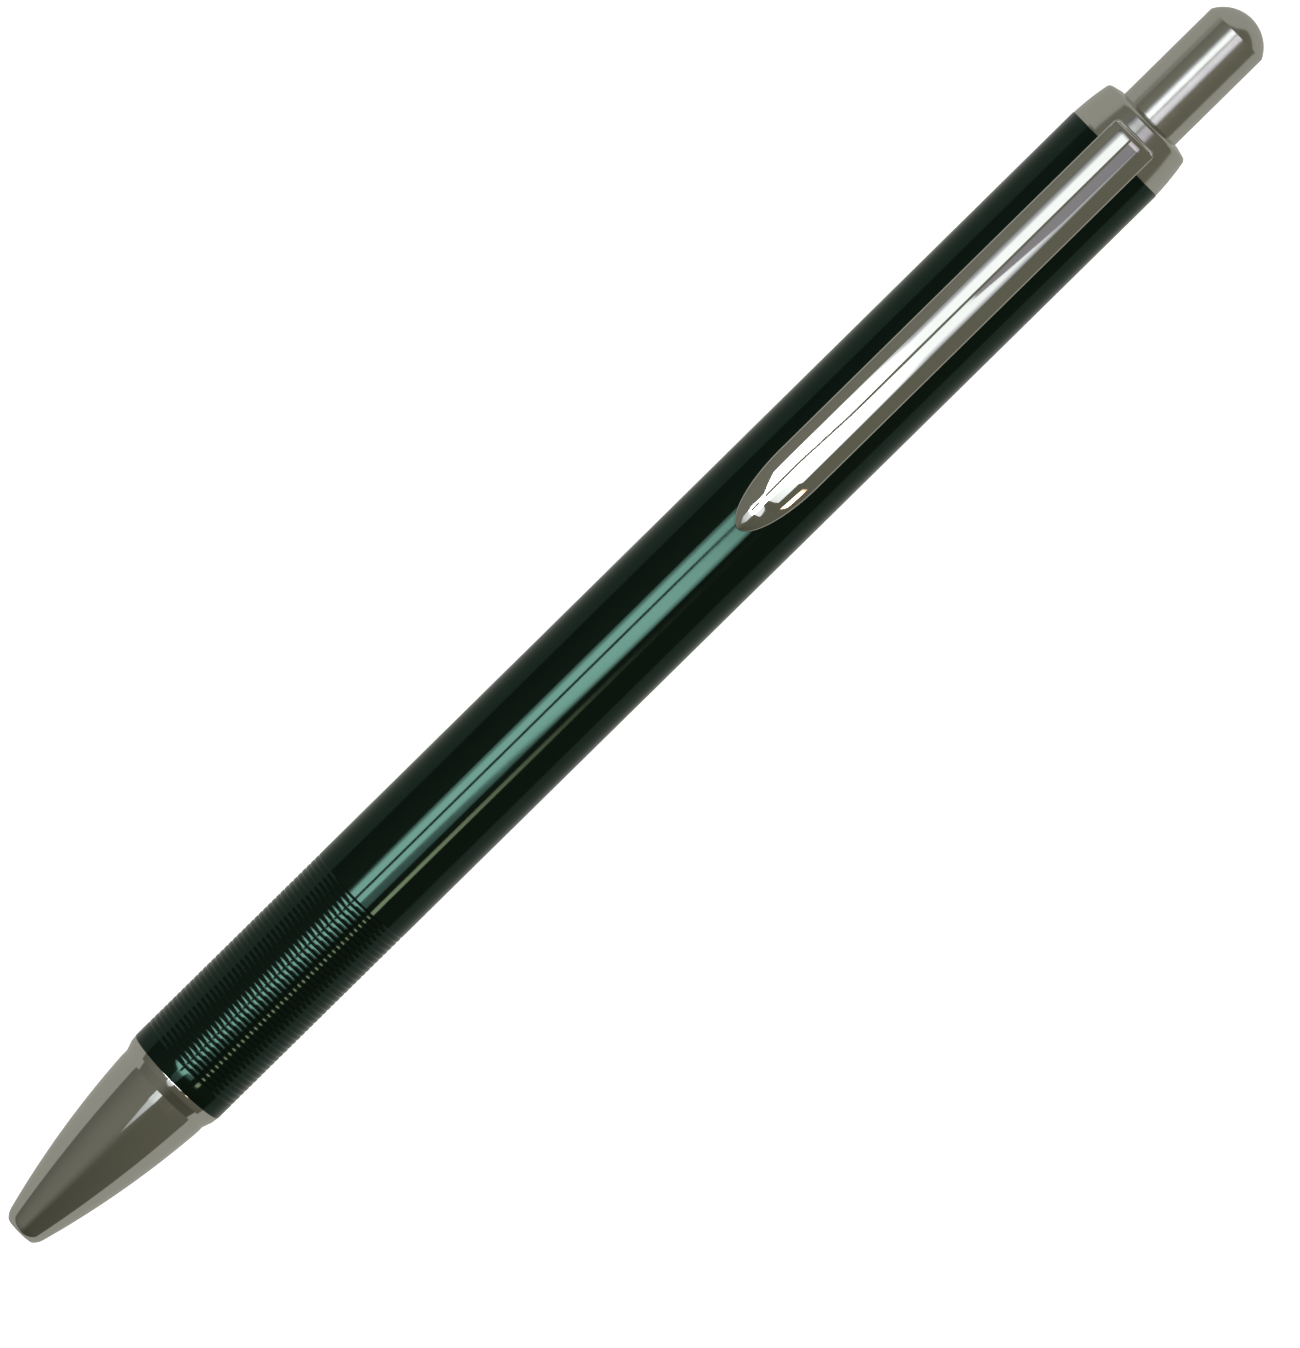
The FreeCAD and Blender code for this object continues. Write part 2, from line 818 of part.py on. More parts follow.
def make_clip_arm():
    """The springing arm of the clip: a crowned strip, down to its pad and up again to a rounded tip."""
    body = new_body("clip_arm")
    rear = "clip_root_front - clip_gap"
    tip = f"{rear} + clip_overhang - clip_length"
    side = closed_sketch(
        body,
        "arm_side",
        [
            (tip, "clip_pad_height + clip_tip_lift"),
            ("clip_pad_place", "clip_pad_height"),
            (rear, "clip_root_height"),
            (rear, CLIP_TOP),
            ("clip_pad_place", "clip_pad_height + clip_edge + clip_crown"),
            (tip, "clip_pad_height + clip_tip_lift + clip_edge"),
        ],
        {0: ("clip_tip_curve", -1), 1: ("clip_bow", 1), 3: ("clip_bow", -1)},
    )
    strip = body.newObject("PartDesign::Pad", "arm_strip")
    strip.Profile = side
    strip.Midplane = True
    strip.setExpression("Length", cells("clip_width"))
    doc.recompute()
    top_start = number("clip_root_height + clip_edge")
    side_edges = [
        f"Edge{i}"
        for i, edge in enumerate(strip.Shape.Edges, start=1)
        if edge.Length > number("clip_length") / 2 and edge.BoundBox.ZMax > top_start
    ]
    crown = body.newObject("PartDesign::Fillet", "arm_crown")
    crown.Base = (strip, side_edges)
    crown.setExpression("Radius", cells("clip_crown"))
    before = new_volume(body)
    half = "clip_width / 2"
    outside = "clip_width"
    for hand, sign in (("left", ""), ("right", "-")):
        corners = [
            (f"{tip} - clip_edge", f"{sign}overcut"),
            (tip, f"{sign}overcut"),
            (tip, f"{sign}clip_tip_flat"),
            (f"{tip} + clip_tip_shoulder", f"{sign}clip_tip_half"),
            (f"{tip} + clip_tip_length", f"{sign}{half}"),
            (f"{tip} + clip_tip_length", f"{sign}{outside}"),
            (f"{tip} - clip_edge", f"{sign}{outside}"),
        ]
        bulge = 1 if hand == "left" else -1
        arcs = {2: ("clip_tip_round", bulge), 3: ("clip_tip_ogive", bulge)}
        trim = closed_sketch(body, f"tip_trim_{hand}", corners, arcs, plane="XY_Plane")
        cut = body.newObject("PartDesign::Pocket", f"tip_{hand}")
        cut.Profile = trim
        cut.Type = "ThroughAll"
        cut.Midplane = True
    check_removed(body, before, "tip trim")


def make_all():
    make_barrel()
    make_rear_ring()
    make_button_guide()
    make_cam_housing()
    make_cam_guide_studs()
    make_clip_root()
    make_clip_arm()
    make_nose_cone()
    make_nose_seal_ring()
    make_spring_seat_washer()
    make_return_spring()
    make_writing_ball()
    make_tip_socket()
    make_ball_spring()
    make_tip_tube()
    make_front_plug()
    make_refill_case()
    make_ink_feed()
    make_ink_reservoir()
    make_rear_plug()
    make_cam_drum()
    make_button_stem()
    make_button_cap()


NODES = [
    "barrel", "rear_ring", "button_guide", "cam_housing", "cam_guide_studs", "clip_root", "clip_arm",
    "nose_cone", "nose_seal_ring", "spring_seat_washer", "return_spring",
    "writing_ball", "tip_socket", "ball_spring", "tip_tube", "refill_front_plug", "refill_case",
    "ink_feed", "ink_reservoir", "refill_rear_plug",
    "cam_drum", "button_stem", "button_cap",
]

make_all()
doc.recompute()
failed = [item.Label for item in doc.Objects if {"Invalid", "Error"} & set(item.State)]
if failed:
    raise RuntimeError(f"these objects failed: {failed}")
os.makedirs("parts", exist_ok=True)
for label in NODES:
    piece = doc.getObjectsByLabel(label)[0]
    if piece.Shape.isNull() or not piece.Shape.isValid():
        raise RuntimeError(f"{label} is not a sound solid")
    piece.Shape.exportStep(f"parts/{label}.step")
    box = piece.Shape.BoundBox
    print(f"{label:20s} {piece.Shape.Volume:9.3f} mm3")
    print(f"{'':20s} x {box.XMin:7.2f} to {box.XMax:7.2f}, z {box.ZMin:6.2f} to {box.ZMax:6.2f}")
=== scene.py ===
"""Looks for the push-button pen: detailed pieces, materials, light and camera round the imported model.

The pen's shapes are in millimetres: "along" is counted from the nose face towards the button, and a radius
or a height from the pen's own axis. place() turns them into the frame's metres. The lamps, the floor and
the camera are in metres.
"""
import json
import math

import bmesh
import bpy
from mathutils import Matrix, Vector


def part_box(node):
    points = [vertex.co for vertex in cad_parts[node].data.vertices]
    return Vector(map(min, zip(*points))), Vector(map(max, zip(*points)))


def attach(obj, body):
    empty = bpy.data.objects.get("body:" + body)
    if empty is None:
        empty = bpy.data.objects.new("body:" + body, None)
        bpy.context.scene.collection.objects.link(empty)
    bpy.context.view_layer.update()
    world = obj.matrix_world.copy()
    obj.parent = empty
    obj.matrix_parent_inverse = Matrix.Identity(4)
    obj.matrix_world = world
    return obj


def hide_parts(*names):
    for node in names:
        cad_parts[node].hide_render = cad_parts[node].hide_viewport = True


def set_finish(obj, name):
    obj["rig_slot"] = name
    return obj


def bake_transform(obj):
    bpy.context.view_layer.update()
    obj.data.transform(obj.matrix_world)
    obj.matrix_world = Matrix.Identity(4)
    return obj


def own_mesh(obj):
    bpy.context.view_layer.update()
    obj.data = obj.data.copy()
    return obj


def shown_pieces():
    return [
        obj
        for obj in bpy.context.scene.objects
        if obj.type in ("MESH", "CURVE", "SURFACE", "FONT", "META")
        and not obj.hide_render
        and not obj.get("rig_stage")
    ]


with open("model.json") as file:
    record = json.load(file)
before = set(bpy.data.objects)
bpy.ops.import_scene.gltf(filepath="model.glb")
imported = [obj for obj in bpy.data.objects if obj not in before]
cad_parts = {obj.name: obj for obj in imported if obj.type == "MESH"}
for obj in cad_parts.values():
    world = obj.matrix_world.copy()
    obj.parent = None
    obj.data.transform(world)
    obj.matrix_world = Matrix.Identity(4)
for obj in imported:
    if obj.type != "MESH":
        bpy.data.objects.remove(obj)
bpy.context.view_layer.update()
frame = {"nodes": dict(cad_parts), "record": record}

MM = 0.001
NOSE_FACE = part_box("nose_cone")[0].x
AXIS_HEIGHT = (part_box("barrel")[0].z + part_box("barrel")[1].z) / 2


def place(along, across=0.0, up=0.0):
    """The frame's point for a place given in millimetres."""
    return Vector((NOSE_FACE + along * MM, across * MM, AXIS_HEIGHT + up * MM))


# mesh tools

SEGMENTS = 176
MERGE_DISTANCE = 1e-7
EASED_SHARE = 0.45
SLIGHTEST_CORNER = math.radians(12)


def new_piece(name, points, faces, body, slot, smooth_angle=35.0):
    """A smooth-shaded mesh that takes its finish from a slot.
    """
    mesh = bpy.data.meshes.new(name)
    mesh.from_pydata([tuple(point) for point in points], [], faces)
    sheet = bmesh.new()
    sheet.from_mesh(mesh)
    bmesh.ops.remove_doubles(sheet, verts=sheet.verts, dist=MERGE_DISTANCE)
    bmesh.ops.recalc_face_normals(sheet, faces=sheet.faces)
    sheet.to_mesh(mesh)
    sheet.free()
    mesh.shade_smooth()
    mesh.set_sharp_from_angle(angle=math.radians(smooth_angle))
    piece = bpy.data.objects.new(name, mesh)
    bpy.context.scene.collection.objects.link(piece)
    weighted = piece.modifiers.new("even_normals", "WEIGHTED_NORMAL")
    weighted.weight = 100
    weighted.keep_sharp = True
    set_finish(piece, slot)
    if body:
        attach(piece, body)
    return piece


def arc(start, end, radius, steps):
    """Points of the arc from start to end, both included, that bulges to the left of travel."""
    (ax, ay), (bx, by) = start, end
    chord = math.hypot(bx - ax, by - ay)
    reach = math.sqrt(radius * radius - chord * chord / 4)
    centre_x = (ax + bx) / 2 + (by - ay) / chord * reach
    centre_y = (ay + by) / 2 - (bx - ax) / chord * reach
    first = math.atan2(ay - centre_y, ax - centre_x)
    last = math.atan2(by - centre_y, bx - centre_x)
    if last > first:
        last -= 2 * math.pi
    turns = [first + (last - first) * i / steps for i in range(steps + 1)]
    return [(centre_x + radius * math.cos(t), centre_y + radius * math.sin(t)) for t in turns]


def stepped(steps):
    """The outline's points along a stepped wall, from its (start, end, radius) steps."""
    return [point for start, end, radius in steps for point in ((start, radius), (end, radius))]


def rounded(outline, radius=0.05, steps=3):
    """The closed outline with each of its corners off the axis eased by a small curve."""
    eased = []
    count = len(outline)
    for i, corner in enumerate(outline):
        here = Vector(corner)
        back = Vector(outline[i - 1]) - here
        ahead = Vector(outline[(i + 1) % count]) - here
        turn = math.pi - back.angle(ahead)
        if corner[1] == 0 or turn < SLIGHTEST_CORNER:
            eased.append(corner)
            continue
        reach = min(radius * math.tan(turn / 2), EASED_SHARE * back.length, EASED_SHARE * ahead.length)
        start = here + back.normalized() * reach
        end = here + ahead.normalized() * reach
        for step in range(steps + 1):
            share = step / steps
            point = start * (1 - share) ** 2 + here * 2 * share * (1 - share) + end * share**2
            eased.append((point.x, point.y))
    return eased


def lathe(name, outline, body, slot, segments=SEGMENTS, cut=None):
    """A closed (along, radius) outline turned about the pen's axis.

    cut(along, radius, turn), where it is given, says how far the surface is cut in there.
    """
    points = []
    rings = []
    for along, radius in outline:
        first = len(points)
        if radius == 0:
            points.append(place(along))
            rings.append([first] * segments)
            continue
        for i in range(segments):
            turn = 2 * math.pi * i / segments
            reach = radius - (cut(along, radius, turn) if cut else 0.0)
            points.append(place(along, reach * math.cos(turn), reach * math.sin(turn)))
        rings.append(list(range(first, first + segments)))
    faces = []
    for ring, following in zip(rings, rings[1:] + rings[:1]):
        for i in range(segments):
            j = (i + 1) % segments
            corners = list(dict.fromkeys([ring[i], ring[j], following[j], following[i]]))
            if len(corners) > 2:
                faces.append(corners)
    return new_piece(name, points, faces, body, slot)


def skin(rings, count):
    """Faces over that many rings of points, one after the other, with both ends closed."""
    last = (rings - 1) * count
    faces = [list(range(count)), list(range(last, last + count))]
    for i in range(rings - 1):
        for k in range(count):
            j = (k + 1) % count
            faces.append([i * count + k, i * count + j, (i + 1) * count + j, (i + 1) * count + k])
    return faces


def tube_along(name, centres, radius, body, slot, sides=14):
    """A round wire through the centre points, each (along, across, up), with flat ends."""
    path = [place(*centre) for centre in centres]
    points = []
    for i, centre in enumerate(path):
        ahead = (path[min(i + 1, len(path) - 1)] - path[max(i - 1, 0)]).normalized()
        out = Vector((0, centre.y, centre.z - AXIS_HEIGHT)).normalized()
        side = ahead.cross(out).normalized()
        for k in range(sides):
            turn = 2 * math.pi * k / sides
            points.append(centre + (out * math.cos(turn) + side * math.sin(turn)) * radius * MM)
    return new_piece(name, points, skin(len(path), sides), body, slot, smooth_angle=60.0)


# the barrel

BARREL_RADIUS = 4.92
BARREL_FRONT = 18.55
BARREL_REAR = 128.55
GRIP_START = 19.95
GROOVE_PITCH = 0.511
GROOVE_COUNT = 40
GROOVE_WIDTH = 0.22
GROOVE_DEPTH = 0.06
SEAL_END = 19.65
SEAL_BORE = 4.46
THREAD_BORE_END = 27.35
THREAD_BORE = 4.25
REFILL_BORE = 3.75
CAM_BORE_START = 104.85
CAM_BORE = 4.1


def make_barrel():
    """The lacquered tube, with ring grooves at the grip."""
    grip = []
    for i in range(GROOVE_COUNT):
        middle = GRIP_START + (i + 0.5) * GROOVE_PITCH
        grip.append((middle - GROOVE_WIDTH / 2, BARREL_RADIUS))
        grip.append((middle, BARREL_RADIUS - GROOVE_DEPTH))
        grip.append((middle + GROOVE_WIDTH / 2, BARREL_RADIUS))
    bore = stepped([
        (BARREL_REAR, CAM_BORE_START, CAM_BORE),
        (CAM_BORE_START, THREAD_BORE_END, REFILL_BORE),
        (THREAD_BORE_END, SEAL_END, THREAD_BORE),
        (SEAL_END, BARREL_FRONT, SEAL_BORE),
    ])
    outline = [(BARREL_FRONT, BARREL_RADIUS)] + grip + [(BARREL_REAR, BARREL_RADIUS)] + bore
    barrel = lathe("barrel_tube", rounded(outline, 0.03), "barrel_assembly", "lacquer")
    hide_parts("barrel")
    return barrel


# the ring behind the barrel

RING_FRONT = (BARREL_REAR, 4.88)
RING_SHOULDER = (131.9, 4.52)
RING_RIM = (132.4, 4.12)
RING_CROWN_RADIUS = 22.0
RING_CORNER_RADIUS = 0.53
RING_REAR = 132.65
RING_HOLE = 3.14
GUIDE_REAR = 130.95
GUIDE_BORE = 3.6
RING_SPIGOT_START = 122.35


def make_rear_ring():
    """The crowned end ring, with the spigot that sits in the barrel."""
    crown = arc(RING_FRONT, RING_SHOULDER, RING_CROWN_RADIUS, 10)
    corner = arc(RING_SHOULDER, RING_RIM, RING_CORNER_RADIUS, 6)
    inside = stepped([
        (RING_REAR, GUIDE_REAR, RING_HOLE),
        (GUIDE_REAR, RING_SPIGOT_START, GUIDE_BORE),
        (RING_SPIGOT_START, BARREL_REAR, CAM_BORE),
    ])
    outline = crown + corner[1:] + inside
    ring = lathe("crown_ring", rounded(outline, 0.08), "barrel_assembly", "bright_metal")
    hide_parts("rear_ring")
    return ring


# the nose

NOSE_RIM = (0.0, 1.42)
NOSE_SHOULDER = (0.8, 1.924)
NOSE_WAIST = (16.45, 4.53)
RIM_RADIUS = 1.6
OGIVE_RADIUS = 83.1
COLLAR = [(17.1, 4.53), (17.95, 4.83), (BARREL_FRONT, 4.90)]
SEAL_SEAT_RADIUS = 3.95
SPIGOT_RADIUS = 4.17
SPIGOT_END = [(26.05, SPIGOT_RADIUS), (26.35, 4.0)]
NOSE_BORE = [(26.35, 15.55, 3.62), (15.55, 12.65, 3.3), (12.65, 7.15, 2.8), (7.15, 0.0, 1.34)]
THREAD_START = 20.55
THREAD_PITCH = 0.75
THREAD_TURNS = 6
THREAD_LENGTH = THREAD_TURNS * THREAD_PITCH
THREAD_DEPTH = 0.17
THREAD_FLANK = 0.4
THREAD_STEPS = 110


def thread_cut(along, radius, turn):
    """How deep the one-start thread cuts into the spigot at a place on it, fading out at both its ends."""
    travel = along - THREAD_START
    if radius < SPIGOT_RADIUS - 0.01 or not 0 < travel < THREAD_LENGTH:
        return 0.0
    share = (travel / THREAD_PITCH - turn / (2 * math.pi)) % 1.0
    fade = min(1.0, travel, THREAD_LENGTH - travel)
    return THREAD_DEPTH * max(0.0, 1 - abs(share - 0.5) / THREAD_FLANK) * fade


def make_nose():
    """The bright cone: an ogive with a flared collar, and the threaded spigot behind it."""
    corner = arc(NOSE_RIM, NOSE_SHOULDER, RIM_RADIUS, 8)
    ogive = arc(NOSE_SHOULDER, NOSE_WAIST, OGIVE_RADIUS, 32)
    seal_seat = [(BARREL_FRONT, SEAL_SEAT_RADIUS), (SEAL_END, SEAL_SEAT_RADIUS), (SEAL_END, SPIGOT_RADIUS)]
    thread = []
    for i in range(THREAD_STEPS + 1):
        thread.append((THREAD_START + THREAD_LENGTH * i / THREAD_STEPS, SPIGOT_RADIUS))
    outline = corner + ogive[1:] + COLLAR + seal_seat + thread + SPIGOT_END + stepped(NOSE_BORE)
    nose = lathe("nose_shell", rounded(outline, 0.06), "nose", "bright_metal", cut=thread_cut)
    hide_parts("nose_cone")
    return nose


# the push button

BUTTON_FACE = 144.53
BUTTON_RADIUS = 3.0
DOME_RADIUS = 3.38
BUTTON_START = 126.35
BUTTON_BORE = 2.15
BUTTON_BORE_END = 141.35


def make_button():
    """The domed cap, hollow from the front."""
    shoulder = BUTTON_FACE - DOME_RADIUS + math.sqrt(DOME_RADIUS**2 - BUTTON_RADIUS**2)
    dome = arc((shoulder, BUTTON_RADIUS), (BUTTON_FACE, 0.0), DOME_RADIUS, 18)
    dome[-1] = (BUTTON_FACE, 0)
    bore = [(BUTTON_BORE_END, 0), (BUTTON_BORE_END, BUTTON_BORE), (BUTTON_START, BUTTON_BORE)]
    outline = [(BUTTON_START, BUTTON_RADIUS)] + dome + bore
    button = lathe("push_button", rounded(outline, 0.12, 4), "button", "bright_metal", segments=128)
    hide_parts("button_cap")
    return button


# the clip: its outline seen from above

CLIP_TIP = 84.53
CLIP_END = 130.95
CLIP_HALF = 2.25
TIP_LENGTH = 7.2
TIP_END = CLIP_TIP + TIP_LENGTH
CORNER = 0.65

# its underside

PAD_PLACE = 87.55
PAD_HEIGHT = 5.06
TIP_LIFT = 0.15
ARM_REAR = 128.55
ROOT_HEIGHT = 5.55
ROOT_SEAT = 4.96
SEAT_START = 127.55
SEAT_END = 128.65
UNDER_EASE = 0.06

# its crown, which droops at the tip and is domed down at the rear

SHOULDER = 0.37
CROWN_RADIUS = 5.0
CROWN_POWER = 0.6
EDGE_ROUND = 0.18
TIP_DROOP = 0.14
DROOP_LENGTH = 2.0
DOME_START = 130.0
DOME_END = 130.78
CORNER_FALL = 0.35
EDGE_STEPS = 5
CROWN_STEPS = 24
ARM_STATIONS_END = 127.0


def clip_half(along):
    """Half the clip's width at a place: a half-ellipse at the tip and rounded corners at the rear."""
    if along < TIP_END:
        share = (along - CLIP_TIP) / TIP_LENGTH
        return CLIP_HALF * math.sqrt(max(1 - (1 - share) ** 2, 0.0))
    start = CLIP_END - CORNER
    if along > start:
        return CLIP_HALF - CORNER + math.sqrt(max(CORNER**2 - (along - start) ** 2, 0.0))
    return CLIP_HALF


def clip_lean(along):
    """The length of the clip's edge for each millimetre along the pen."""
    step = 1e-4
    after = clip_half(min(along + step, CLIP_END))
    before = clip_half(max(along - step, CLIP_TIP))
    slope = (after - before) / (2 * step)
    return math.sqrt(1 + slope * slope)


def clip_under(along):
    """Height of the arm's underside above the pen's axis."""
    if along < PAD_PLACE:
        share = (PAD_PLACE - along) / (PAD_PLACE - CLIP_TIP)
        return PAD_HEIGHT + TIP_LIFT * share**2
    share = (along - PAD_PLACE) / (ARM_REAR - PAD_PLACE)
    return PAD_HEIGHT + (ROOT_HEIGHT - PAD_HEIGHT) * share


def smooth(low, high, value):
    """A smooth step from 0 at low to 1 at high."""
    share = min(max((value - low) / (high - low), 0.0), 1.0)
    return share * share * (3 - 2 * share)


def clip_top(along, across):
    """Height of the crown above the pen's axis, with its rim rounded over."""
    half = clip_half(along)
    radius = CROWN_RADIUS * min(1.0, (half / CLIP_HALF) ** CROWN_POWER)
    base = math.sqrt(radius**2 - half**2)
    droop = TIP_DROOP * max(0.0, 1 - (along - CLIP_TIP) / DROOP_LENGTH) ** 2
    shoulder = clip_under(along) + SHOULDER - droop
    inside = min((half - across) / clip_lean(along), CLIP_END - along, EDGE_ROUND)
    drop = EDGE_ROUND - math.sqrt(EDGE_ROUND**2 - (EDGE_ROUND - inside) ** 2)
    reached = along + CORNER_FALL * (across / half) ** 4
    share = min(max((reached - DOME_START) / (DOME_END - DOME_START), 0.0), 1.0)
    dome = math.sqrt(1 - share * share)
    return shoulder + (math.sqrt(radius**2 - across**2) - base) * dome - drop


def clip_acrosses(along):
    """Places across the crown from its right edge to its left, close together where the rim is rounded."""
    half = clip_half(along)
    lean = clip_lean(along)
    depth = min(half / lean, CLIP_END - along)
    reach = min(depth * 0.98, EDGE_ROUND)
    last = math.acos(1 - reach / EDGE_ROUND)
    edge = [EDGE_ROUND * (1 - math.cos(last * i / EDGE_STEPS)) * lean for i in range(EDGE_STEPS + 1)]
    edge = [min(offset, half * 0.96) for offset in edge]
    inner = half - edge[-1]
    right = [half - offset for offset in edge]
    middle = [inner * math.cos(math.pi * i / CROWN_STEPS) for i in range(1, CROWN_STEPS)]
    return right + middle + [-across for across in reversed(right)]


def clip_section(along):
    """One closed cross-section of the clip as (across, up) points: its underside, then over the crown."""
    half = clip_half(along)
    under = clip_under(along)
    seat = under + (ROOT_SEAT - under) * smooth(SEAT_START, SEAT_END, along)
    ease = min(UNDER_EASE, half * 0.3)
    part = ease * 0.3
    section = [(-half + ease, seat), (half - ease, seat), (half - part, seat + part), (half, seat + ease)]
    section += [(across, clip_top(along, abs(across))) for across in clip_acrosses(along)]
    section += [(-half, seat + ease), (-half + part, seat + part)]
    return section


def closing_in(start, end, count):
    """Places from start to end, start left out, that lie closer together towards the end."""
    return [start + (end - start) * math.sin(math.pi / 2 * i / count) for i in range(1, count + 1)]


def evenly(start, end, count):
    """Places from start to end, start left out, all the same distance apart."""
    return [start + (end - start) * i / count for i in range(1, count + 1)]


def clip_stations():
    """Places along the clip for its sections, close together where it curves."""
    stations = [CLIP_TIP + TIP_LENGTH * (i / 60) ** 2 for i in range(1, 61)]
    stations += evenly(TIP_END, ARM_STATIONS_END, 60)
    stations += evenly(ARM_STATIONS_END, DOME_START, 24)
    stations += closing_in(DOME_START, DOME_END, 16)
    stations += closing_in(DOME_END, CLIP_END, 10)
    return stations


def make_clip():
    """The clip as one unbroken strip, in place of the CAD's hinged root and arm."""
    sections = [clip_section(along) for along in clip_stations()]
    points = []
    for along, section in zip(clip_stations(), sections):
        points += [place(along, across, up) for across, up in section]
    faces = skin(len(sections), len(sections[0]))
    clip = new_piece("pocket_clip", points, faces, None, "clip_steel")
    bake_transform(clip)
    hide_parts("clip_root", "clip_arm")
    return clip


# the refill's bright tip: "along" is counted from the ball's front

REFILL = 1.55
SOCKET = [
    (0.2, 0.45), (0.26, 0.47), (0.9, 0.62), (1.0, 0.66), (3.1, 1.24), (3.8, 1.24),
    (3.8, 0.95), (6.5, 0.95), (6.5, 0.42), (1.08, 0.42), (1.08, 0.38), (0.2, 0.38),
]
STEM = [(3.8, 1.26), (18.42, 1.26), (18.42, 0.95), (3.8, 0.95)]
BALL_RADIUS = 0.35


def in_refill(outline):
    """The outline's points counted from the nose face, at rest."""
    return [(REFILL + along, radius) for along, radius in outline]


def make_ball_socket():
    """The turned point that holds the writing ball."""
    tip = lathe("ball_socket", rounded(in_refill(SOCKET), 0.04), "refill", "tip_metal", segments=96)
    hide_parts("tip_socket")
    return tip


def make_tip_stem():
    """The thin tube behind the point."""
    stem = lathe("tip_stem", rounded(in_refill(STEM), 0.05), "refill", "tip_metal", segments=96)
    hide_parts("tip_tube")
    return stem


def make_rolling_ball():
    """The writing ball."""
    half_turns = [math.pi * i / 24 for i in range(25)]
    ball = [(BALL_RADIUS - BALL_RADIUS * math.cos(t), BALL_RADIUS * math.sin(t)) for t in half_turns]
    ball[0] = (0, 0)
    ball[-1] = (2 * BALL_RADIUS, 0)
    bead = lathe("rolling_ball", in_refill(ball), "refill", "ball_metal", segments=48)
    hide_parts("writing_ball")
    return bead


# the return spring

SPRING_START = 7.45
SPRING_END = 18.68
SPRING_RADIUS = 2.46
SPRING_WIRE = 0.2
SPRING_TURNS = 9


def make_return_spring():
    """One coil of wire round the refill's tip, riding on the spring's carrier."""
    steps = 36 * SPRING_TURNS
    start = SPRING_START
    travel = SPRING_END - SPRING_START - 2 * SPRING_WIRE
    centres = []
    for i in range(steps + 1):
        turn = 2 * math.pi * SPRING_TURNS * i / steps
        along = start + SPRING_WIRE + travel * i / steps
        centres.append((along, SPRING_RADIUS * math.cos(turn), SPRING_RADIUS * math.sin(turn)))
    spring = tube_along("coil_spring", centres, SPRING_WIRE, "spring_carrier", "spring_wire")
    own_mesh(spring)
    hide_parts("return_spring")
    return spring


# materials

NOISE_DETAIL = 4.0
RELIEF_DISTANCE = 0.00002
WORN_PIECES = ("push_button", "crown_ring")


def material(name, colour, second, metallic, roughness, spread, scale, bump, stretch=(1, 1, 1)):
    """A principled material whose colour, roughness and relief follow one noise in the object's space."""
    made = bpy.data.materials.new(name)
    made.use_nodes = True
    tree = made.node_tree
    shader = tree.nodes["Principled BSDF"]
    shader.inputs["Metallic"].default_value = metallic
    where = tree.nodes.new("ShaderNodeTexCoord")
    mapping = tree.nodes.new("ShaderNodeMapping")
    mapping.inputs["Scale"].default_value = stretch
    noise = tree.nodes.new("ShaderNodeTexNoise")
    noise.inputs["Scale"].default_value = scale
    noise.inputs["Detail"].default_value = NOISE_DETAIL
    tree.links.new(where.outputs["Object"], mapping.inputs["Vector"])
    tree.links.new(mapping.outputs["Vector"], noise.inputs["Vector"])
    tone = tree.nodes.new("ShaderNodeMix")
    tone.data_type = "RGBA"
    tone.inputs["A"].default_value = (*colour, 1)
    tone.inputs["B"].default_value = (*second, 1)
    tree.links.new(noise.outputs["Fac"], tone.inputs["Factor"])
    tree.links.new(tone.outputs["Result"], shader.inputs["Base Color"])
    gloss = tree.nodes.new("ShaderNodeMapRange")
    gloss.inputs["To Min"].default_value = roughness - spread
    gloss.inputs["To Max"].default_value = roughness + spread
    tree.links.new(noise.outputs["Fac"], gloss.inputs["Value"])
    tree.links.new(gloss.outputs["Result"], shader.inputs["Roughness"])
    relief = tree.nodes.new("ShaderNodeBump")
    relief.inputs["Strength"].default_value = bump
    relief.inputs["Distance"].default_value = RELIEF_DISTANCE
    tree.links.new(noise.outputs["Fac"], relief.inputs["Height"])
    tree.links.new(relief.outputs["Normal"], shader.inputs["Normal"])
    return made


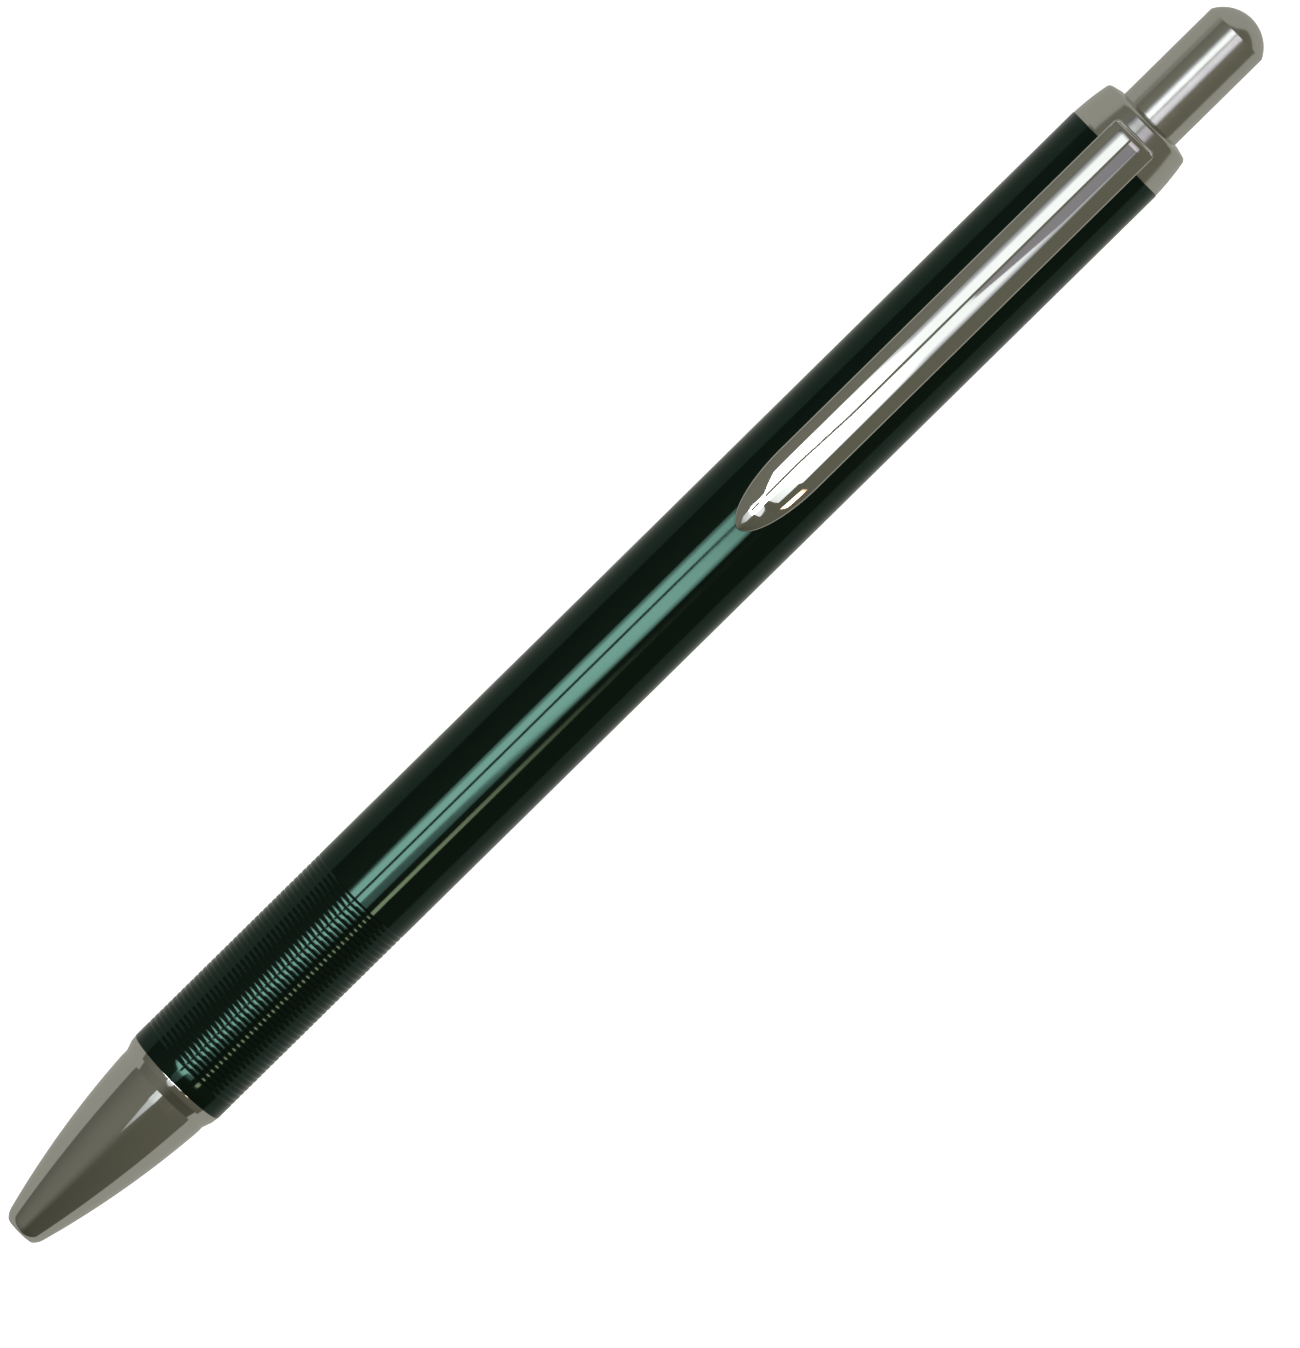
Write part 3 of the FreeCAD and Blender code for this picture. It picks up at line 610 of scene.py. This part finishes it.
def make_materials():
    """One material for each finish the record names, and a softer plate for the pieces most touched."""
    return {
        "lacquer": material(
            "green_lacquer", (0.020, 0.042, 0.032), (0.024, 0.048, 0.037),
            metallic=1.0, roughness=0.08, spread=0.015, scale=900, bump=0.03,
        ),
        "bright_metal": material(
            "bright_plate", (0.60, 0.585, 0.54), (0.64, 0.62, 0.57),
            metallic=1.0, roughness=0.06, spread=0.015, scale=500, bump=0.02,
        ),
        "clip_steel": material(
            "clip_plate", (0.62, 0.60, 0.55), (0.66, 0.64, 0.59),
            metallic=1.0, roughness=0.022, spread=0.006, scale=500, bump=0.0,
        ),
        "worn_plate": material(
            "thumbed_plate", (0.60, 0.585, 0.54), (0.64, 0.62, 0.57),
            metallic=1.0, roughness=0.17, spread=0.02, scale=500, bump=0.02,
        ),
        "inner_plastic": material(
            "black_moulding", (0.02, 0.02, 0.021), (0.028, 0.028, 0.03),
            metallic=0.0, roughness=0.55, spread=0.08, scale=1800, bump=0.4,
        ),
        "white_plastic": material(
            "acetal", (0.82, 0.82, 0.78), (0.76, 0.76, 0.73),
            metallic=0.0, roughness=0.42, spread=0.06, scale=1500, bump=0.2,
        ),
        "brass": material(
            "turned_brass", (0.70, 0.52, 0.22), (0.60, 0.43, 0.17),
            metallic=1.0, roughness=0.25, spread=0.06, scale=900, bump=0.2, stretch=(6, 1, 1),
        ),
        "seal_rubber": material(
            "seal_rubber", (0.012, 0.012, 0.012), (0.02, 0.02, 0.02),
            metallic=0.0, roughness=0.65, spread=0.08, scale=2500, bump=0.5,
        ),
        "spring_wire": material(
            "drawn_wire", (0.52, 0.52, 0.53), (0.42, 0.42, 0.43),
            metallic=1.0, roughness=0.28, spread=0.06, scale=2500, bump=0.3, stretch=(0.3, 1, 1),
        ),
        "refill_metal": material(
            "satin_tube", (0.60, 0.60, 0.59), (0.52, 0.52, 0.51),
            metallic=1.0, roughness=0.32, spread=0.05, scale=1200, bump=0.2, stretch=(0.1, 1, 1),
        ),
        "tip_metal": material(
            "nickel_silver", (0.62, 0.60, 0.55), (0.54, 0.52, 0.47),
            metallic=1.0, roughness=0.22, spread=0.05, scale=1600, bump=0.3, stretch=(5, 1, 1),
        ),
        "ball_metal": material(
            "ground_ball", (0.42, 0.42, 0.43), (0.5, 0.5, 0.51),
            metallic=1.0, roughness=0.2, spread=0.05, scale=6000, bump=0.2,
        ),
        "refill_plastic": material(
            "black_plug", (0.012, 0.012, 0.014), (0.02, 0.02, 0.022),
            metallic=0.0, roughness=0.3, spread=0.06, scale=1500, bump=0.2,
        ),
        "ink_felt": material(
            "inked_fibre", (0.006, 0.007, 0.02), (0.02, 0.022, 0.05),
            metallic=0.0, roughness=0.85, spread=0.1, scale=4000, bump=1.0, stretch=(0.05, 1, 1),
        ),
    }


def dress_all(finishes):
    """Every piece and every CAD node that stays takes its slot's material."""
    for part in frame["record"]["subparts"]:
        item = frame["nodes"][part["node"]]
        item.data.materials.clear()
        item.data.materials.append(finishes[part["material_slot"]])
    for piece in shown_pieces():
        slot = piece.get("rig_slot")
        if slot:
            finish = "worn_plate" if piece.name in WORN_PIECES else slot
            piece.data.materials.clear()
            piece.data.materials.append(finishes[finish])


# shader tools


def combined(tree, operation, first, second):
    """The result of a sum on two values, each a number or the output of a node."""
    node = tree.nodes.new("ShaderNodeMath")
    node.operation = operation
    for socket, source in zip(node.inputs, (first, second)):
        if isinstance(source, float):
            socket.default_value = source
        else:
            tree.links.new(source, socket)
    return node.outputs["Value"]


def profile(tree, source, low, high, stops):
    """A value that follows the (place, share) stops between low and high."""
    spread = tree.nodes.new("ShaderNodeMapRange")
    spread.inputs["From Min"].default_value = low
    spread.inputs["From Max"].default_value = high
    ramp = tree.nodes.new("ShaderNodeValToRGB")
    points = ramp.color_ramp.elements
    while len(points) < len(stops):
        points.new(0.5)
    for i, (place_on, share) in enumerate(stops):
        points[i].position = (place_on - low) / (high - low)
        points[i].color = (share, share, share, 1)
    tree.links.new(source, spread.inputs["Value"])
    tree.links.new(spread.outputs["Result"], ramp.inputs["Fac"])
    return ramp.outputs["Color"]


def ramped(tree, source, low, high, at_low, at_high):
    """A smooth step of a value: at_low below low, at_high above high."""
    step = tree.nodes.new("ShaderNodeMapRange")
    step.interpolation_type = "SMOOTHSTEP"
    step.inputs["From Min"].default_value = low
    step.inputs["From Max"].default_value = high
    step.inputs["To Min"].default_value = at_low
    step.inputs["To Max"].default_value = at_high
    tree.links.new(source, step.inputs["Value"])
    return step.outputs["Result"]


def blended(tree, share, first, second):
    """A colour between two, each a colour or the output of a node."""
    mix = tree.nodes.new("ShaderNodeMix")
    mix.data_type = "RGBA"
    tree.links.new(share, mix.inputs["Factor"])
    for socket, source in (("A", first), ("B", second)):
        if isinstance(source, tuple):
            mix.inputs[socket].default_value = (*source, 1)
        else:
            tree.links.new(source, mix.inputs[socket])
    return mix.outputs["Result"]


# lamps: flat panels overhead, whose corners are (x, y)

PANEL_HEIGHT = 1.0
ROOM_LENGTH = (-0.45, 0.65)
ROOM_WIDTH = (-1.0, 1.0)
BRIGHTEST = 8.0
DAYLIGHT = (0.93, 1.0, 1.06)
VIOLET_DAYLIGHT = (0.95, 0.93, 1.06)
WARM = (1.0, 0.68, 0.5)
EVEN = [(0.0, 1.0), (0.1, 1.0)]

# the camera sees the lamps between these two places in the barrel, from its front to near the clip
FRONT = -0.172
REAR = -0.045

LEFT_WINDOW = [
    (0.6, 0.06), (0.6, 0.6), (0.02, 0.6), (-0.02, 0.52), (-0.12, 0.52), (-0.165, 0.24), (FRONT, 0.2),
    (-0.32, 0.2), (-0.43, 0.05), (-0.43, 0.03), (-0.32, 0.09), (FRONT, 0.143), (REAR, 0.143),
    (-0.033, 0.06),
]
RIGHT_WINDOW = [
    (-0.033, -0.025), (REAR, 0.062), (FRONT, 0.062), (FRONT, -0.1), (-0.12, -0.12), (-0.1, -0.2),
    (-0.085, -0.36), (-0.075, -0.5), (0.0, -0.5), (0.035, -0.44), (0.035, -0.39), (0.014, -0.36),
    (-0.004, -0.1), (-0.004, -0.02),
]
RIGHT_REAR_WINDOW = [
    (-0.004, -0.02), (-0.004, -0.1), (0.014, -0.36), (0.035, -0.39), (0.05, -0.4), (0.07, -0.5),
    (0.6, -0.5), (0.6, -0.02),
]
NOSE_WINDOW = [(FRONT, 0.13), (-0.32, 0.09), (-0.43, 0.03), (-0.43, 0.02), (-0.32, -0.08), (FRONT, -0.08)]
RIGHT_HAZE = [(FRONT, -0.1), (-0.12, -0.12), (-0.1, -0.2), (-0.085, -0.36), (-0.08, -0.42), (FRONT, -0.42)]
WARM_STRIP = [(-0.215, -0.71), (-0.1, -0.71), (-0.1, -0.93), (-0.215, -0.93)]


def glow(name, colour, along_stops, across_stops):
    """Light whose strength follows (x, strength) stops along the lamp and (y, share) stops across it."""
    made = bpy.data.materials.new(name)
    made.use_nodes = True
    tree = made.node_tree
    tree.nodes.clear()
    where = tree.nodes.new("ShaderNodeTexCoord")
    split = tree.nodes.new("ShaderNodeSeparateXYZ")
    tree.links.new(where.outputs["Object"], split.inputs["Vector"])
    shares = [(x, strength / BRIGHTEST) for x, strength in along_stops]
    along = profile(tree, split.outputs["X"], *ROOM_LENGTH, shares)
    across = profile(tree, split.outputs["Y"], *ROOM_WIDTH, across_stops)
    strength = combined(tree, "MULTIPLY", combined(tree, "MULTIPLY", along, across), BRIGHTEST)
    light = tree.nodes.new("ShaderNodeEmission")
    light.inputs["Color"].default_value = (*colour, 1)
    tree.links.new(strength, light.inputs["Strength"])
    out = tree.nodes.new("ShaderNodeOutputMaterial")
    tree.links.new(light.outputs["Emission"], out.inputs["Surface"])
    return made


def panel(name, corners, colour, along_stops, across_stops=EVEN):
    """A flat lamp overhead that the camera itself doesn't see."""
    mesh = bpy.data.meshes.new(name)
    mesh.from_pydata([(x, y, PANEL_HEIGHT) for x, y in corners], [], [list(range(len(corners)))])
    mesh.materials.append(glow(f"{name}_glow", colour, along_stops, across_stops))
    lamp = bpy.data.objects.new(name, mesh)
    bpy.context.scene.collection.objects.link(lamp)
    lamp.visible_camera = False
    lamp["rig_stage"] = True
    return lamp


def make_lamps():
    """Two long windows overhead with a narrow bar between them, a hazy side and a small warm lamp."""
    panel(
        "left_window", LEFT_WINDOW, DAYLIGHT,
        [
            (-0.43, 0.5), (-0.3, 0.95), (-0.21, 1.2), (FRONT, BRIGHTEST), (REAR, BRIGHTEST), (-0.02, 1.55),
            (0.1, 1.5), (0.6, 0.4),
        ],
        [(0.0, 1.0), (0.34, 1.0), (0.44, 0.45), (0.6, 0.1)],
    )
    panel(
        "right_window", RIGHT_WINDOW, DAYLIGHT,
        [(FRONT, BRIGHTEST), (REAR, BRIGHTEST), (-0.02, 1.55), (0.0, 1.5), (0.014, 1.2), (0.035, 0.7)],
        [(-0.5, 0.1), (-0.42, 0.5), (-0.3, 1.0), (0.1, 1.0)],
    )
    panel(
        "right_rear_window", RIGHT_REAR_WINDOW, VIOLET_DAYLIGHT,
        [(-0.004, 0.36), (0.037, 0.36), (0.062, 1.05), (0.6, 0.6)],
        [(-0.5, 0.1), (-0.42, 0.8), (-0.3, 1.0), (0.0, 1.0)],
    )
    panel(
        "nose_window", NOSE_WINDOW, DAYLIGHT,
        [(-0.43, 0.5), (-0.3, 0.95), (-0.21, 1.2), (FRONT, BRIGHTEST)],
    )
    panel("right_haze", RIGHT_HAZE, DAYLIGHT, [(FRONT, 1.3), (-0.08, 1.7)])
    panel("warm_strip", WARM_STRIP, WARM, [(-0.215, 7.0), (-0.15, BRIGHTEST), (-0.1, 1.0)])


# the room

TABLE = (0.42, 0.424, 0.386)
LEFT_LOW = (0.16, 0.162, 0.138)
LEFT_HIGH = (0.22, 0.222, 0.185)
RIGHT_FRONT = (0.08, 0.082, 0.062)
RIGHT_REAR = (0.17, 0.173, 0.132)
SIDE_BLUR = 0.25
SKYLINE_BLUR = 0.02
LEFT_SKYLINE = 0.1
REAR_SKYLINE = 0.28


def make_world():
    """A dim room above a pale table; the table's horizon stands higher at the left and the left rear."""
    world = bpy.data.worlds.new("studio")
    bpy.context.scene.world = world
    world.use_nodes = True
    tree = world.node_tree
    background = tree.nodes["Background"]
    where = tree.nodes.new("ShaderNodeTexCoord")
    split = tree.nodes.new("ShaderNodeSeparateXYZ")
    tree.links.new(where.outputs["Generated"], split.inputs["Vector"])
    x, y, z = split.outputs["X"], split.outputs["Y"], split.outputs["Z"]
    leftward = ramped(tree, y, -SIDE_BLUR, SIDE_BLUR, 0.0, 1.0)
    left_rise = ramped(tree, y, -SIDE_BLUR, SIDE_BLUR, 0.0, LEFT_SKYLINE)
    rear_rise = combined(tree, "MULTIPLY", leftward, ramped(tree, x, 0.001, 0.008, 0.0, REAR_SKYLINE))
    skyline = combined(tree, "ADD", left_rise, rear_rise)
    height = combined(tree, "SUBTRACT", z, skyline)
    above = ramped(tree, height, -SKYLINE_BLUR, SKYLINE_BLUR, 0.0, 1.0)
    left = blended(tree, ramped(tree, z, 0.1, 0.9, 0.0, 1.0), LEFT_LOW, LEFT_HIGH)
    right = blended(tree, ramped(tree, x, -0.8, 0.1, 0.0, 1.0), RIGHT_FRONT, RIGHT_REAR)
    room = blended(tree, leftward, right, left)
    tree.links.new(blended(tree, above, TABLE, room), background.inputs["Color"])
    return world


FLOOR_HALF = 3.2
FLOOR_CORNERS = [(-1, -1), (1, -1), (1, 1), (-1, 1)]


def make_floor():
    """The pale ground, lit from itself, which the bright pieces don't mirror."""
    corners = [(x * FLOOR_HALF, y * FLOOR_HALF, 0) for x, y in FLOOR_CORNERS]
    mesh = bpy.data.meshes.new("floor")
    mesh.from_pydata(corners, [], [[0, 1, 2, 3]])
    made = bpy.data.materials.new("pale_floor")
    made.use_nodes = True
    shader = made.node_tree.nodes["Principled BSDF"]
    shader.inputs["Base Color"].default_value = (0.8, 0.8, 0.8, 1)
    shader.inputs["Roughness"].default_value = 0.9
    shader.inputs["Emission Color"].default_value = (1, 1, 1, 1)
    shader.inputs["Emission Strength"].default_value = 1.0
    mesh.materials.append(made)
    floor = bpy.data.objects.new("floor", mesh)
    bpy.context.scene.collection.objects.link(floor)
    floor.visible_glossy = False
    floor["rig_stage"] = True
    return floor


# the camera

CAMERA_PLACE = Vector((0.058235, 0.03805, 0.93))
CAMERA_TARGET = Vector((-0.001725, -0.00374, 0.0049))
PEN_TILT = 44.52
VIEW_SPAN = 0.11256


def make_camera():
    """A camera that looks down on the pen, turned so that the pen lies across the picture at its tilt."""
    data = bpy.data.cameras.new("camera")
    camera = bpy.data.objects.new("camera", data)
    bpy.context.scene.collection.objects.link(camera)
    forward = (CAMERA_TARGET - CAMERA_PLACE).normalized()
    distance = (CAMERA_TARGET - CAMERA_PLACE).length
    along = (Vector((1, 0, 0)) - forward * forward.x).normalized()
    across = (-forward).cross(along)
    tilt = math.radians(PEN_TILT)
    right = along * math.cos(tilt) - across * math.sin(tilt)
    up = along * math.sin(tilt) + across * math.cos(tilt)
    turn = Matrix((right, up, -forward)).transposed()
    camera.matrix_world = Matrix.Translation(CAMERA_PLACE) @ turn.to_4x4()
    data.sensor_width = 36
    data.lens = data.sensor_width * distance / VIEW_SPAN
    data.clip_start = 0.05
    data.clip_end = 20
    bpy.context.scene.camera = camera
    return camera


make_camera()
make_world()
make_floor()
make_lamps()
make_barrel()
make_rear_ring()
make_nose()
make_button()
make_clip()
make_ball_socket()
make_tip_stem()
make_rolling_ball()
make_return_spring()
dress_all(make_materials())

scene = bpy.context.scene
scene.view_settings.view_transform = "Standard"
scene.view_settings.look = "None"
